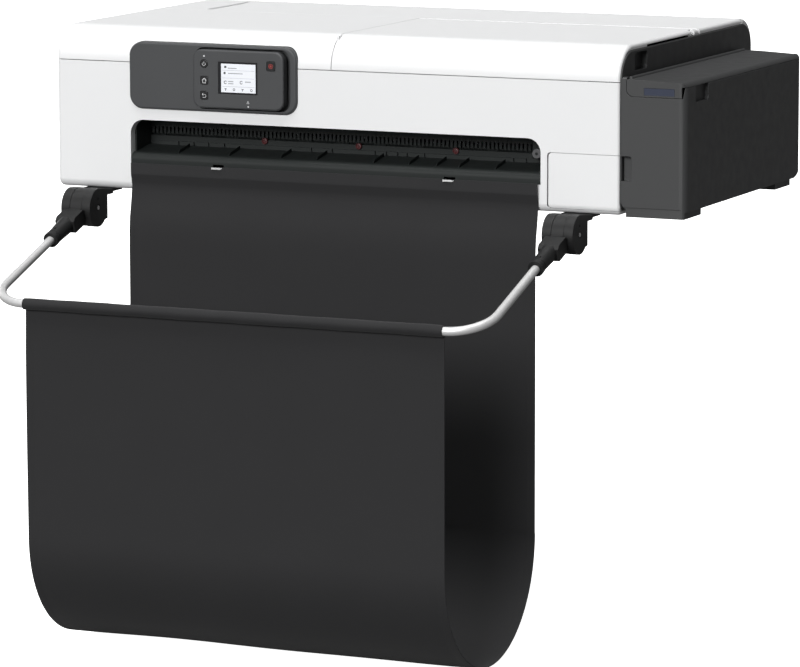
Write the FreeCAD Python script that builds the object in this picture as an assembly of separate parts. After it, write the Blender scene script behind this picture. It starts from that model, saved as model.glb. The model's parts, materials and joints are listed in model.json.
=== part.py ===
import FreeCAD, Part
import math
import os

# Large format ink-jet plotter, free-standing on a desk or a stand, with a cloth output basket.
# Every part is drawn in unit coordinates: x from the left face, y from the front face (positive
# towards the back), z from the desk plane, in mm. save() then moves it to the row origin, which
# is the centre of the unit's footprint on the desk plane.

WIDTH = 968.0
DEPTH = 525.0
HEIGHT = 233.0
ORIGIN = FreeCAD.Vector(-WIDTH / 2, -DEPTH / 2, 0)

# casing
BODY_W = 870.4
WALL = 3.0
BOTTOM = 0.8
FRONT_R = 47.0
REAR_R = 42.0
FOOT_R = 12.0
GAP = 0.5
SEAM_Z = 184.4
SEAM_X = 435.4
FRONT_BAND = 40.4
ACCESS_AXIS = (300.0, 228.7)
ROLL_AXIS = (478.0, 228.7)
BARREL_R = 4.3
ROLL_FRONT = 307.4
RIM_X = 864.4
PANEL_TOP = 225.5
ROLL_LOW = 215.0

# output slot, control panel and maintenance door in the front cover
SLOT = (118.7, 753.7, 38.2, 102.2)
SLOT_R = 20.0
SLOT_DEEP = 14.0
PANEL = (119.0, 383.4, 118.8, 214.2)
PANEL_R = 20.0
POCKET = (223.7, 373.5, 122.8, 210.0)
POD = (224.3, 366.2, 124.8, 207.8)
POD_FRONT = -11.0
GLASS = (264.3, 325.6, 145.9, 191.2)
SCREEN = (268.9, 322.9, 148.3, 188.9)
DOOR = (765.4, 7.0, 83.6)
DOOR_AXIS = (768.0, 2.4)
DOOR_GAP = 2.0

# ink box on the right end
INK_X0 = 872.8
INK_Z0 = 9.5
INK_DEPTH = 466.6
LID_X0 = 880.5
LID_AXIS = (881.5, 189.3)
LID_R = 3.2
LID_BARREL = (12.0, 458.0)
LID_SIDE_Z = 181.0
LIP_Z = 166.2
LIP_X1 = 961.0

# inside
FRAME_L = (40.0, 42.0)
FRAME_R = (856.0, 858.0)
GUIDE = (180.0, 130.0)
GUIDE_R = 6.0
FEED = (225.0, 80.0)
FEED_R = 9.0
EXIT = (72.0, 76.0)
EXIT_R = 6.0
NIP = 0.4
STAR_R = 5.5
PINCH_R = 5.0
RUN = 0.06
GEAR_M = 1.0
FEED_TEETH = 64
MOTOR_TEETH = 16
GEAR_SPREAD = 0.15
PULLEY_R = 8.0
PULLEY_X = (56.0, 838.0)
PULLEY_Z = 160.0
ROLL = (415.0, 118.0)
CUTTER = (734.0, 77.0)
CUTTER_R = 6.5
STAND_X = 360.0
STAND_Y = 150.0

# basket
HUB = (-43.0, -22.0)
HUB_R = 27.5
HUB_X = (65.0, 807.4)
ARM_DROP = 19.0
ARM_LEN = 301.4
TUBE_R = 6.1
BEND_R = 55.0
CLOTH = (121.2, 751.2)
CLOTH_T = 1.0
CLOTH_FRONT = -324.7
CLOTH_BACK = -11.0
CLOTH_SPLIT = -300.0
CLOTH_LOW = -450.0
HOOK_X = (257.7, 616.5)
HOOK_HALF = 8.6


def save(name, shape):
    shape = shape.copy()
    shape.translate(ORIGIN)
    shape.exportStep(os.path.join("parts", name + ".step"))


def box(x0, x1, y0, y1, z0, z1):
    return Part.makeBox(x1 - x0, y1 - y0, z1 - z0, FreeCAD.Vector(x0, y0, z0))


def rod_x(r, centre, x0, x1):
    return Part.makeCylinder(r, x1 - x0, FreeCAD.Vector(x0, centre[0], centre[1]), FreeCAD.Vector(1, 0, 0))


def rod_y(r, x, z, y0, y1):
    return Part.makeCylinder(r, y1 - y0, FreeCAD.Vector(x, y0, z), FreeCAD.Vector(0, 1, 0))


def rod_z(r, x, y, z0, z1):
    return Part.makeCylinder(r, z1 - z0, FreeCAD.Vector(x, y, z0))


def outline(steps, place):
    """Closed wire. Each step is an end point, or a (middle, end) pair for an arc."""
    edges = []
    start = steps[0]
    for step in steps[1:] + [steps[0]]:
        arc = isinstance(step[0], tuple)
        end = step[1] if arc else step
        if arc:
            edges.append(Part.Arc(place(start), place(step[0]), place(end)).toShape())
        elif place(start).distanceToPoint(place(end)) > 1e-6:
            edges.append(Part.makeLine(place(start), place(end)))
        start = end
    return Part.Wire(edges)


def prism_x(steps, x0, x1):
    wire = outline(steps, lambda p: FreeCAD.Vector(x0, p[0], p[1]))
    return Part.Face(wire).extrude(FreeCAD.Vector(x1 - x0, 0, 0))


def prism_y(steps, y0, y1):
    wire = outline(steps, lambda p: FreeCAD.Vector(p[0], y0, p[1]))
    return Part.Face(wire).extrude(FreeCAD.Vector(0, y1 - y0, 0))


def on_arc(cx, cz, r, degrees):
    a = math.radians(degrees)
    return (cx + r * math.cos(a), cz + r * math.sin(a))


def rounded_y(rect, r, y0, y1):
    """Plate with rounded corners, standing in the front plane."""
    x0, x1, z0, z1 = rect
    steps = [
        (x0 + r, z0), (x1 - r, z0), (on_arc(x1 - r, z0 + r, r, -45), (x1, z0 + r)),
        (x1, z1 - r), (on_arc(x1 - r, z1 - r, r, 45), (x1 - r, z1)),
        (x0 + r, z1), (on_arc(x0 + r, z1 - r, r, 135), (x0, z1 - r)),
        (x0, z0 + r), (on_arc(x0 + r, z0 + r, r, 225), (x0 + r, z0)),
    ]
    return prism_y(steps, y0, y1)


def plate_y(rect, y0, y1):
    return box(rect[0], rect[1], y0, y1, rect[2], rect[3])


def grown(rect, d):
    return (rect[0] - d, rect[1] + d, rect[2] - d, rect[3] + d)


def edges_at(shape, test):
    return [e for e in shape.Edges if test(e.BoundBox)]


def rounded(shape, r, test):
    return shape.makeFillet(r, edges_at(shape, test))


def casing_outline(inset):
    y0, y1 = inset, DEPTH - inset
    z0, z1 = BOTTOM + inset, HEIGHT - inset
    front, rear, foot = FRONT_R - inset, REAR_R - inset, FOOT_R - inset
    return [
        (y0 + foot, z0), (y1 - foot, z0), (on_arc(y1 - foot, z0 + foot, foot, -45), (y1, z0 + foot)),
        (y1, z1 - rear), (on_arc(y1 - rear, z1 - rear, rear, 45), (y1 - rear, z1)),
        (y0 + front, z1), (on_arc(y0 + front, z1 - front, front, 135), (y0, z1 - front)),
        (y0, z0 + foot), (on_arc(y0 + foot, z0 + foot, foot, 225), (y0 + foot, z0)),
    ]


def side_outline(inset):
    y0, y1 = 3.0 + inset, 517.0 - inset
    z0, z1 = 7.0 + inset, PANEL_TOP - inset
    front, rear, foot = 40.0 - inset, 36.0 - inset, 12.0 - inset
    return [
        (y0 + foot, z0), (y1, z0), (y1, z1 - rear),
        (on_arc(y1 - rear, z1 - rear, rear, 45), (y1 - rear, z1)),
        (y0 + front, z1), (on_arc(y0 + front, z1 - front, front, 135), (y0, z1 - front)),
        (y0, z0 + foot), (on_arc(y0 + foot, z0 + foot, foot, 225), (y0 + foot, z0)),
    ]


def casing():
    """Whole white skin, before it is cut into covers."""
    outer = prism_x(casing_outline(0), 0, BODY_W)
    outer = rounded(outer, 7.0, lambda b: b.XMax < 0.01)
    outer = rounded(outer, 5.0, lambda b: b.XMin > BODY_W - 0.01)
    skin = outer.cut(prism_x(casing_outline(WALL), WALL, BODY_W + 1))
    rim = prism_x(casing_outline(0), RIM_X, BODY_W).cut(prism_x(side_outline(0), RIM_X - 1, BODY_W + 1))
    return skin.fuse(rim.common(outer)).removeSplitter()


def barrel(axis, x0, x1):
    return rod_x(BARREL_R, axis, x0, x1)


def slot_collar():
    rect = (SLOT[0], SLOT[1], SLOT[2] - 30, SLOT[3])
    inner = rounded_y(rect, SLOT_R, 0.5, SLOT_DEEP)
    outer = rounded_y(grown(rect, 2.4), SLOT_R + 2.4, 0.5, SLOT_DEEP)
    return outer.cut(inner).common(box(0, BODY_W, 0, SLOT_DEEP, SLOT[2], HEIGHT))


def door_cut(side, d):
    """Block round the maintenance door, larger than it by side on the hinge side and d elsewhere."""
    x0, z0, z1 = DOOR
    return rounded_y((x0 - side, BODY_W + 20, z0 - d, z1 + d), 5.0, -5, 16)


def lower_front_cover(skin):
    body = skin.common(box(-1, BODY_W + 1, -1, FRONT_BAND - GAP, -1, SEAM_Z - GAP))
    body = body.fuse(slot_collar())
    slot = rounded_y((SLOT[0], SLOT[1], SLOT[2] - 30, SLOT[3]), SLOT_R, -5, SLOT_DEEP + 1)
    body = body.cut(slot.common(box(0, BODY_W, -5, 30, SLOT[2], HEIGHT)))
    body = body.cut(rounded_y(grown(PANEL, 0.5), PANEL_R, -5, 40))
    body = body.cut(door_cut(DOOR_GAP, GAP))
    frame = box(DOOR[0] - 5, RIM_X - 6, 8, 10, DOOR[1] - 1, DOOR[2] + 5)
    frame = frame.cut(box(DOOR[0] + 8, RIM_X - 10, 0, 20, DOOR[1] + 6, DOOR[2] - 4))
    web = box(DOOR[0] - 5, RIM_X - 6, 2.5, 10, DOOR[2] + 1.6, DOOR[2] + 3.6)
    return body.fuse([frame, web]).removeSplitter()


def upper_left_cover(skin):
    body = skin.common(box(-1, SEAM_X - GAP, -1, ROLL_FRONT - 0.8, SEAM_Z + GAP, HEIGHT + 1))
    return body.cut(rounded_y(grown(PANEL, 0.5), PANEL_R, -5, 60))


def access_cover(skin):
    body = skin.common(box(SEAM_X + GAP, BODY_W + 1, -1, ACCESS_AXIS[0], SEAM_Z + GAP, HEIGHT + 1))
    body = body.cut(box(RIM_X - 1, BODY_W + 1, 102, 266, 0, PANEL_TOP + 2.6))
    body = body.cut(box(RIM_X - 1, BODY_W + 1, 275, 287, 0, HEIGHT + 1))
    rib = box(SEAM_X + GAP, SEAM_X + 3, 20, 280, 222, 231)
    return body.fuse([barrel(ACCESS_AXIS, SEAM_X + GAP, RIM_X - 1), rib]).removeSplitter()


def roll_cover(skin):
    body = skin.common(box(-1, BODY_W + 1, ROLL_FRONT, ROLL_AXIS[0], ROLL_LOW, HEIGHT + 1))
    floor = HEIGHT - 1.8
    steps = [(322, HEIGHT), (336, floor), (452, floor), (472, HEIGHT), (472, HEIGHT + 3), (322, HEIGHT + 3)]
    body = body.cut(prism_x(steps, 81, 834))
    return body.fuse(barrel(ROLL_AXIS, 4, RIM_X - 1)).removeSplitter()


def left_side_cover(skin):
    return skin.common(box(-1, WALL, FRONT_BAND + GAP, 498, -1, SEAM_Z - GAP))


def rear_cover(skin):
    top = skin.common(box(-1, BODY_W + 1, ROLL_AXIS[0], DEPTH + 1, SEAM_Z + GAP, HEIGHT + 1))
    low = skin.common(box(-1, BODY_W + 1, 498.8, DEPTH + 1, -1, SEAM_Z + GAP))
    side = skin.common(box(-1, WALL + 5, ROLL_FRONT, ROLL_AXIS[0] + 1, SEAM_Z + GAP, ROLL_LOW - 2 * GAP))
    body = top.fuse([low, side])
    saddle = box(30, RIM_X - 12, 482, 500, 214, 231)
    body = body.fuse(saddle).cut(rod_x(BARREL_R + 0.5, ROLL_AXIS, -1, BODY_W + 1))
    body = body.cut(box(699.5, 731.5, DEPTH - 8, DEPTH + 1, 19.5, 46.5))
    body = body.cut(box(639.5, 690.5, DEPTH - 8, DEPTH + 1, 19.5, 40.5))
    for i in range(9):
        body = body.cut(box(150 + 14 * i, 156 + 14 * i, DEPTH - 8, DEPTH + 1, 60, 100))
    return body.removeSplitter()


def right_side_panel():
    """Plate in the right opening, with the recess for lifting the access cover."""
    face = RIM_X + 8
    plate = prism_x(side_outline(GAP), RIM_X + 2, face)
    plate = rounded(plate, 1.8, lambda b: b.XMin > face - 0.01 and b.ZMin > 20)
    pocket = rounded(box(RIM_X - 3.4, RIM_X + 3, 49, 101, 194, 223), 8, lambda b: b.XLength > 1)
    recess = rounded(box(RIM_X - 1.6, face + 1, 51, 99, 196, 221), 6, lambda b: b.XLength > 1)
    return plate.fuse(pocket).cut(recess).removeSplitter()


def hinge_beam():
    """Channel under the lid seam, with the saddle that carries the access cover's barrel."""
    flanges = [box(4, 861, y, y + 2, 204, 214) for y in (286, 324)]
    beam = box(4, 861, 286, 326, 214, 217).fuse(flanges)
    saddle = box(SEAM_X + 2, RIM_X - 2, 291, 306, 217, 228).cut(rod_x(BARREL_R + 0.4, ACCESS_AXIS, 400, 870))
    return beam.fuse(saddle).removeSplitter()


def base_pan():
    pan = box(3.6, RIM_X - 0.6, 41.6, 497.6, 3.2, 5.2)
    for sx in (-1, 1):
        for sy in (-1, 1):
            x, y = WIDTH / 2 + sx * STAND_X, DEPTH / 2 + sy * STAND_Y
            pan = pan.fuse(rod_z(9, x, y, 0, 5.2)).cut(rod_z(2.5, x, y, -1, 6))
    return pan


def rubber_feet():
    feet = []
    for x in (60.0, 800.0):
        for y in (66.0, 470.0):
            feet.append(rounded(rod_z(14, x, y, 0, 3.2), 0.8, lambda b: b.ZMax < 0.01))
    return Part.makeCompound(feet)


def side_frame(span):
    x0, x1 = span
    plate = box(x0, x1, 62, 470, 5.4, 203)
    plate = plate.cut(box(x0 - 1, x1 + 1, 300, 440, 150, 204))
    plate = plate.cut(rod_x(GUIDE_R + 0.2, GUIDE, x0 - 1, x1 + 1))
    plate = plate.cut(rod_x(6.2, FEED, x0 - 1, x1 + 1))
    plate = plate.cut(rod_x(4.1, EXIT, x0 - 1, x1 + 1))
    foot = box(x0, x0 + 14, 62, 470, 5.4, 7.4) if x0 < 400 else box(x1 - 14, x1, 62, 470, 5.4, 7.4)
    return plate.fuse(foot)


def chassis():
    """Two side plates, drilled for the shafts and the feed motor, and the cross member between them."""
    left = side_frame(FRAME_L).cut(rod_x(3.5, motor_axis(), 30, 50))
    foot = box(FRAME_L[1], FRAME_R[0], 100, 112, 7.6, 9.6)
    web = box(FRAME_L[1], FRAME_R[0], 110, 112, 9.6, 60)
    return left.fuse([side_frame(FRAME_R), foot, web])


def carriage_rail():
    rail = box(42.4, 855.6, 232, 234, 118, 198).fuse(box(42.4, 855.6, 234, 252, 196, 198))
    rail = rail.cut(rod_y(2.0 + RUN, PULLEY_X[0], PULLEY_Z, 230, 236))
    return rail.cut(rod_y(2.6, PULLEY_X[1], PULLEY_Z, 230, 236))


def guide_shaft():
    return rod_x(GUIDE_R, GUIDE, 38, 860)


def carriage():
    body = box(775, 845, 122, 214, 100, 172)
    body = body.cut(box(781, 839, 128, 168, 136, 173))
    body = body.cut(rod_x(GUIDE_R + RUN, GUIDE, 770, 850))
    tab = box(800, 820, 212, 223, 140, 149)
    return body.fuse(tab)


def print_head():
    block = box(785, 835, 132, 172, 93.5, 100)
    nozzles = box(792, 828, 140, 164, 92, 93.5)
    return block.fuse(nozzles)


def timing_belt():
    x0, x1 = PULLEY_X
    outer, inner = PULLEY_R + 1.4, PULLEY_R + 0.1

    def loop(r):
        steps = [
            (x0, PULLEY_Z - r), (x1, PULLEY_Z - r), ((x1 + r, PULLEY_Z), (x1, PULLEY_Z + r)),
            (x0, PULLEY_Z + r), ((x0 - r, PULLEY_Z), (x0, PULLEY_Z - r)),
        ]
        return prism_y(steps, 216.5, 221.5)

    return loop(outer).cut(loop(inner))


def pulley(x, shaft_r, shaft_end):
    wheel = rod_y(PULLEY_R, x, PULLEY_Z, 216, 222)
    wheel = wheel.fuse([rod_y(10.4, x, PULLEY_Z, 214.7, 216), rod_y(10.4, x, PULLEY_Z, 222, 223.3)])
    wheel = wheel.fuse(rod_y(shaft_r, x, PULLEY_Z, 223, shaft_end))
    for i in range(5):
        a = math.radians(72 * i)
        wheel = wheel.cut(rod_y(1.3, x + 5.2 * math.cos(a), PULLEY_Z + 5.2 * math.sin(a), 214, 219))
    return wheel.removeSplitter()


def motor_pulley():
    return pulley(PULLEY_X[1], 2.5, 233.9)


def idler_pulley():
    return pulley(PULLEY_X[0], 2.0, 233.9)


def platen():
    plate = box(100, 765, 98, 212, 82, 87)
    ribs = [box(110 + 31.5 * i, 112.5 + 31.5 * i, 102, 208, 87, 90) for i in range(21)]
    return plate.fuse(ribs)


def gear(teeth, centre, bore, x0, x1, turn):
    """Spur gear with straight-sided teeth close to the involute, thinned for backlash."""
    pitch = GEAR_M * teeth / 2
    base = pitch * math.cos(math.radians(20))
    tip, root = pitch + GEAR_M, pitch - 1.25 * GEAR_M
    half = math.pi / (2 * teeth) - 0.06 / pitch
    inv = math.tan(math.radians(20)) - math.radians(20)

    def flank(r):
        a = math.acos(min(1.0, base / r))
        return half + inv - (math.tan(a) - a)

    radii = [max(base, root), pitch - 0.5 * GEAR_M, pitch, pitch + 0.5 * GEAR_M, tip]
    points = []
    for t in range(teeth):
        mid = turn + 2 * math.pi * t / teeth
        side = [(root, flank(radii[0]))] + [(r, flank(r)) for r in radii if r > root]
        for r, w in side:
            points.append((r, mid - w))
        for r, w in reversed(side):
            points.append((r, mid + w))
    ring = [FreeCAD.Vector(x0, centre[0] + r * math.cos(a), centre[1] + r * math.sin(a)) for r, a in points]
    body = Part.Face(Part.makePolygon(ring + [ring[0]])).extrude(FreeCAD.Vector(x1 - x0, 0, 0))
    return body.cut(rod_x(bore, centre, x0 - 1, x1 + 1))


def motor_axis():
    spread = GEAR_M * (FEED_TEETH + MOTOR_TEETH) / 2 + GEAR_SPREAD
    return (FEED[0] + spread, FEED[1])


def feed_roller():
    """Grit roller with its journals and the gear pressed on its left end."""
    wheel = gear(FEED_TEETH, FEED, 6.0, 24, 32, 0.0)
    for i in range(6):
        a = math.radians(60 * i + 30)
        wheel = wheel.cut(rod_x(6.0, (FEED[0] + 19 * math.cos(a), FEED[1] + 19 * math.sin(a)), 20, 40))
    journals = rod_x(6.2 - RUN, FEED, 20, 860)
    return journals.fuse([rod_x(FEED_R, FEED, 60, 770), wheel]).removeSplitter()


def motor_gear():
    body = gear(MOTOR_TEETH, motor_axis(), 2.0, 23.5, 32.5, math.pi + math.pi / MOTOR_TEETH)
    return body.fuse(rod_x(2.5, motor_axis(), 22, 43.8)).removeSplitter()


def drive_motors():
    flange = box(44, 47, motor_axis()[0] - 21, motor_axis()[0] + 21, FEED[1] - 21, FEED[1] + 21)
    feed = rod_x(18, motor_axis(), 44, 86).fuse(flange).cut(rod_x(2.7, motor_axis(), 43, 45))
    drive = rod_y(16, PULLEY_X[1], PULLEY_Z, 234.4, 264).cut(rod_y(2.7, PULLEY_X[1], PULLEY_Z, 234, 240))
    return Part.makeCompound([feed, drive])


def spaced(start, pitch, count):
    return [start + pitch * i for i in range(count)]


def roller_places():
    return spaced(118.0, 58.0, 11)


def pinch_axis():
    return (FEED[0], FEED[1] + FEED_R + NIP + PINCH_R)


def pinch_rollers():
    bore = rod_x(1.5 + RUN, pinch_axis(), 100, 770)
    return Part.makeCompound([rod_x(PINCH_R, pinch_axis(), x, x + 34).cut(bore) for x in roller_places()])


def pinch_holder():
    bar = box(100, 770, 217, 231, 103, 112)
    hangers = [box(x - 7, x - 4, 221, 229, 92, 104) for x in roller_places() + [roller_places()[-1] + 58.0]]
    return bar.fuse(hangers + [rod_x(1.5, pinch_axis(), 106, 760)])


def exit_roller():
    shaft = rod_x(4.1 - RUN, EXIT, 38, 860)
    return shaft.fuse([rod_x(EXIT_R, EXIT, x + 4, x + 24) for x in roller_places()])


def star_axis():
    return (EXIT[0], EXIT[1] + EXIT_R + NIP + STAR_R)


def star_wheels():
    bore = rod_x(1.0 + RUN, star_axis(), 100, 770)
    return Part.makeCompound([rod_x(STAR_R, star_axis(), x + 12, x + 14).cut(bore) for x in roller_places()])


def exit_bars():
    """Star wheel holder and, in front of it, the rail the cutter runs along."""
    bar = box(122, 750, 57.5, 84, 96, 100).fuse(box(122, 750, 57.5, 59.5, 87, 96))
    fins = [box(x + d, x + d + 1.5, 66, 78, 86, 97) for x in roller_places() for d in (0, 26)]
    comb = [box(x, x + 3.6, 57.5, 59.5, 77.5, 88) for x in spaced(124.0, 6.25, 100)]
    rail = box(46, 852, 56.6, 59, 101.5, 112)
    return Part.makeCompound([bar.fuse(fins + comb + [rod_x(1.0, star_axis(), 117, 727)]), rail])


def cutter_carriage():
    body = rounded(box(724, 750, 40, 56, 69, 98), 2.0, lambda b: b.YMax < 40.01)
    lug = box(728, 746, 48, 56, 98, 116).fuse(box(728, 746, 48, 63, 113, 116))
    return body.fuse([lug, rod_y(2.0, CUTTER[0], CUTTER[1], 32, 41)])


def cutter_wheel():
    x, z = CUTTER
    return rod_y(CUTTER_R, x, z, 33, 36).cut(rod_y(2.0 + RUN, x, z, 30, 40))


def capping_station():
    tray = box(788, 848, 122, 200, 45, 80).cut(box(792, 844, 126, 196, 60, 81))
    cap = box(798, 822, 136, 168, 58, 90).cut(box(800, 820, 138, 166, 84, 91))
    return tray.fuse(cap).removeSplitter()


def maintenance_cartridge():
    tray = box(776, 850, 16, 96, 12, 44)
    grip = box(802, 824, 12, 16.5, 22, 34)
    return tray.cut(box(780, 846, 20, 92, 34, 45)).fuse(grip)


def guide_ribs():
    places = (187.8, 268.1, 349.4, 405.3, 493.5, 547.6, 590.0, 624.6, 679.7)
    return [prism_x([(9, 53), (48, 60), (48, 65.3), (16, 59.6)], x, x + 1.6) for x in places]


def guide_tabs():
    """Row of steps at the back of the shelf, broken where the exit rollers' fingers pass."""
    tabs = box(136, 708, 57, 60.5, 60.5, 66.5)
    for x in (168, 192.5, 216, 241.5, 379, 411.5, 478.5, 496, 513.5, 528, 555, 691):
        tabs = tabs.cut(box(x - 2, x + 2, 56, 60, 61, 67))
    return tabs


def output_guide():
    steps = [
        (0.2, 38.4), (4, 38.4), (4, 46), (9, 51.5), (50, 58.5), (62, 58.5), (62, 61), (49.5, 61), (12.5, 54.8),
        ((3.2, 52.0), (0.2, 44.5)),
    ]
    x0, x1 = SLOT[0] + GAP, SLOT[1] - GAP
    shelf = prism_x(steps, x0, x1).fuse(box(x0, x1, 60, 62, 60, 74))
    cheeks = [box(x, x + 1.6, SLOT_DEEP + 0.4, 62, 53, 100) for x in (x0, x1 - 1.6)]
    body = shelf.fuse(guide_ribs() + cheeks + [guide_tabs()])
    for x in HOOK_X:
        body = body.cut(box(x - HOOK_HALF, x + HOOK_HALF, -1, 4.5, 38, 42.8))
    return body.removeSplitter()


def maintenance_cover(skin):
    body = skin.common(door_cut(0, 0)).common(box(0, BODY_W + 1, -1, 12, 0, 100))
    return body.fuse(rod_z(2.3, DOOR_AXIS[0], DOOR_AXIS[1], 14, 76)).removeSplitter()


def panel_frame():
    plate = rounded_y(PANEL, PANEL_R, -4, 12)
    plate = rounded(plate, 3.0, lambda b: b.YMax < -3.99)
    return plate.cut(rounded_y(POCKET, 15, -5, 8))


def key_solid(index, margin, y0, y1):
    """Outline of one key: the power key is round, the others are square."""
    x, z, half = button_places()[index]
    half += margin
    if index == 0:
        return rod_y(half, x, z, y0, y1)
    return rounded_y((x - half, x + half, z - half, z + half), 2.0, y0, y1)


def control_pod():
    pod = rounded_y(POD, 13, POD_FRONT, 2)
    pod = rounded(pod, 2.5, lambda b: b.YMax < POD_FRONT + 0.01)
    pod = pod.cut(plate_y(grown(GLASS, 0.2), POD_FRONT - 1, POD_FRONT + 1.2))
    for index in range(len(button_places())):
        pod = pod.cut(key_solid(index, 0.4, POD_FRONT - 1, POD_FRONT + 5))
    for x, z in lamp_places():
        pod = pod.cut(rod_y(1.25, x, z, POD_FRONT - 1, POD_FRONT + 2))
    return pod


def button_places():
    return [(242.0, 187.6, 5.8), (242.3, 164.0, 5.8), (242.0, 142.5, 5.8), (347.0, 187.6, 6.6)]


def lamp_places():
    return [(242.1, 198.6), (311.4, 129.0)]


def button(index):
    cap = key_solid(index, 0, POD_FRONT - 0.3, POD_FRONT + 2.5)
    return rounded(cap, 0.5, lambda b: b.YMax < POD_FRONT)


def indicator_lamps():
    return Part.makeCompound([rod_y(1.2, x, z, POD_FRONT - 0.1, POD_FRONT + 1.8) for x, z in lamp_places()])


def display_glass():
    pane = plate_y(GLASS, POD_FRONT + 0.1, POD_FRONT + 1.1)
    return pane.cut(plate_y(grown(SCREEN, 0.1), POD_FRONT, POD_FRONT + 0.7))


def display_screen():
    return plate_y(SCREEN, POD_FRONT + 0.15, POD_FRONT + 0.65)


def ink_front(inset):
    """Ink box seen from the front: lower left corner and upper right corner rounded."""
    x0, x1 = INK_X0 + inset, WIDTH - inset
    z0, top, r = INK_Z0 + inset, 190.3 - inset, 3.5 - inset
    return prism_y([
        (x0 + 8, z0), (x1, z0), (x1, 179 - inset), ((x1 - 3.2, 184.4 - inset), (x1 - 12, 186.6 - inset)),
        (906, 189.0 - inset), (886, 189.4 - inset), (LID_X0, 189.4 - inset), (877.9, top),
        (x0 + r, top), (on_arc(x0 + r, top - r, r, 135), (x0, top - r)), (x0, z0 + 14.5),
        ((x0 + 2.2, z0 + 5.6), (x0 + 8, z0)),
    ], inset, INK_DEPTH - inset)


def ink_side(inset):
    """Ink box seen from the side: the rear bottom corner is rounded off."""
    y1, z0 = INK_DEPTH - inset, INK_Z0 + inset
    steps = [(inset, z0), (430, z0), ((453 - inset / 2, z0 + 4.4), (y1, z0 + 15.5)), (y1, 200), (inset, 200)]
    return prism_x(steps, INK_X0, WIDTH)


def ink_plan(inset):
    """Ink box seen from above: both right-hand corners rounded."""
    block = box(INK_X0, WIDTH - inset, inset, INK_DEPTH - inset, 0, 200)
    return rounded(block, 11.0 - inset, lambda b: b.XMin > WIDTH - inset - 0.01 and b.ZLength > 100)


def ink_solid(inset):
    return ink_front(inset).common(ink_side(inset)).common(ink_plan(inset))


def ink_skin():
    return ink_solid(0).cut(ink_solid(WALL))


def lid_region(d):
    """Space of the ink cover, grown by d: the top, and the lip that hangs over the front."""
    top = box(LID_X0 - d, WIDTH + 2, -2, INK_DEPTH + 2, LID_SIDE_Z - d, 200)
    x0, x1, z0 = LID_X0 - d, LIP_X1 + 3 * d, LIP_Z - d
    lip = prism_y([
        (x0 + 10, z0), (x1, z0), (x1 + 11 * d, 200), (x0, 200), (x0, z0 + 10),
        (on_arc(x0 + 10, z0 + 10, 10, 225), (x0 + 10, z0)),
    ], -2, 14)
    return top.fuse(lip)


def ink_pocket(cutter, side, outer):
    """Walls 2.5 mm thick round a recess, kept inside the ink box."""
    b = cutter.BoundBox
    x0, x1 = (INK_X0, b.XMax + 2.5) if side < 0 else (b.XMin - 2.5, WIDTH)
    y0 = 0 if side < 0 else b.YMin - 2.5
    return box(x0, x1, y0, b.YMax + 2.5, b.ZMin - 2.5, min(b.ZMax + 2.5, LID_SIDE_Z - 0.5)).common(outer)


def ink_housing():
    outer = ink_solid(0)
    body = ink_skin().cut(lid_region(0.5))
    body = body.cut(rod_y(LID_R + 0.4, LID_AXIS[0], LID_AXIS[1], LID_BARREL[0] - 0.4, LID_BARREL[1] + 0.4))
    notch = rounded(box(INK_X0 - 1, 888.2, -1, 12, 49, 83.7), 4, lambda b: b.XMin > 888.1 and b.YLength > 1)
    grip = rounded(box(962, WIDTH + 1, 35, 86, 158, 182), 5, lambda b: b.ZMax < 158.01 and b.XLength > 1)
    body = body.fuse([ink_pocket(notch, -1, outer), ink_pocket(grip, 1, outer)]).cut(notch.fuse(grip))
    body = body.cut(box(INK_X0 - 1, WIDTH + 1, -1, 0.8, 0, 13))
    post = rounded(box(873.4, LID_X0 - 0.5, 0, LID_BARREL[0] - 0.4, 184, 192), 5,
                   lambda b: b.YMax < 0.01 and b.ZMin > 191)
    feet = [box(880, 965, y0, y1, 0, 10).common(ink_plan(0)) for y0, y1 in ((0.8, 67), (367, 430))]
    return body.fuse([post] + feet).removeSplitter()


def ink_cover():
    body = ink_skin().common(lid_region(0))
    body = body.fuse(rod_y(LID_R, LID_AXIS[0], LID_AXIS[1], LID_BARREL[0], LID_BARREL[1]))
    return body.cut(box(906, 950.5, -1, 1.5, 168.5, 178.5)).removeSplitter()


def ink_light():
    return box(906.2, 950.3, 0.0, 1.45, 168.7, 178.3)


def ink_tank(index):
    y0 = 22.0 + 104.0 * index
    tank = box(882.5, 957, y0, y0 + 98, 15.5, 138)
    tank = rounded(tank, 4, lambda b: b.ZLength > 100)
    neck = rod_z(9, 930, y0 + 49, 138, 150)
    cavity = box(885, 954.5, y0 + 2.5, y0 + 95.5, 18, 135.5)
    bore = rod_z(6.5, 930, y0 + 49, 135, 151)
    return tank.fuse(neck).cut(cavity.fuse(bore))


def ink_tanks():
    return Part.makeCompound([ink_tank(i) for i in range(4)])


def tank_caps():
    caps = []
    for index in range(4):
        y = 71.0 + 104.0 * index
        cap = rod_z(12, 930, y, 141, 154).cut(rod_z(9.2, 930, y, 140, 151))
        caps.append(cap.fuse(box(919.5, 940.5, y - 2, y + 2, 154, 160)))
    return Part.makeCompound(caps)


def electronics():
    """Main board on its pillars, and the vented power supply case."""
    board = box(130, 340, 118, 208, 14, 15.6)
    chips = [box(150 + 44 * i, 172 + 44 * i, 134, 156, 15.6, 18) for i in range(4)]
    ports = [box(150 + 30 * i, 166 + 30 * i, 190, 206, 15.6, 27) for i in range(6)]
    pillars = [rod_z(3, x, y, 5.2, 14) for x in (136.0, 334.0) for y in (124.0, 202.0)]
    case = box(400, 620, 118, 208, 5.4, 52)
    vents = [box(415 + 12 * i, 420 + 12 * i, 130, 196, 48, 53) for i in range(16)]
    case = case.cut(box(402, 618, 120, 206, 7.4, 50)).cut(Part.makeCompound(vents))
    return Part.makeCompound([board.fuse(chips + ports + pillars), case])


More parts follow.
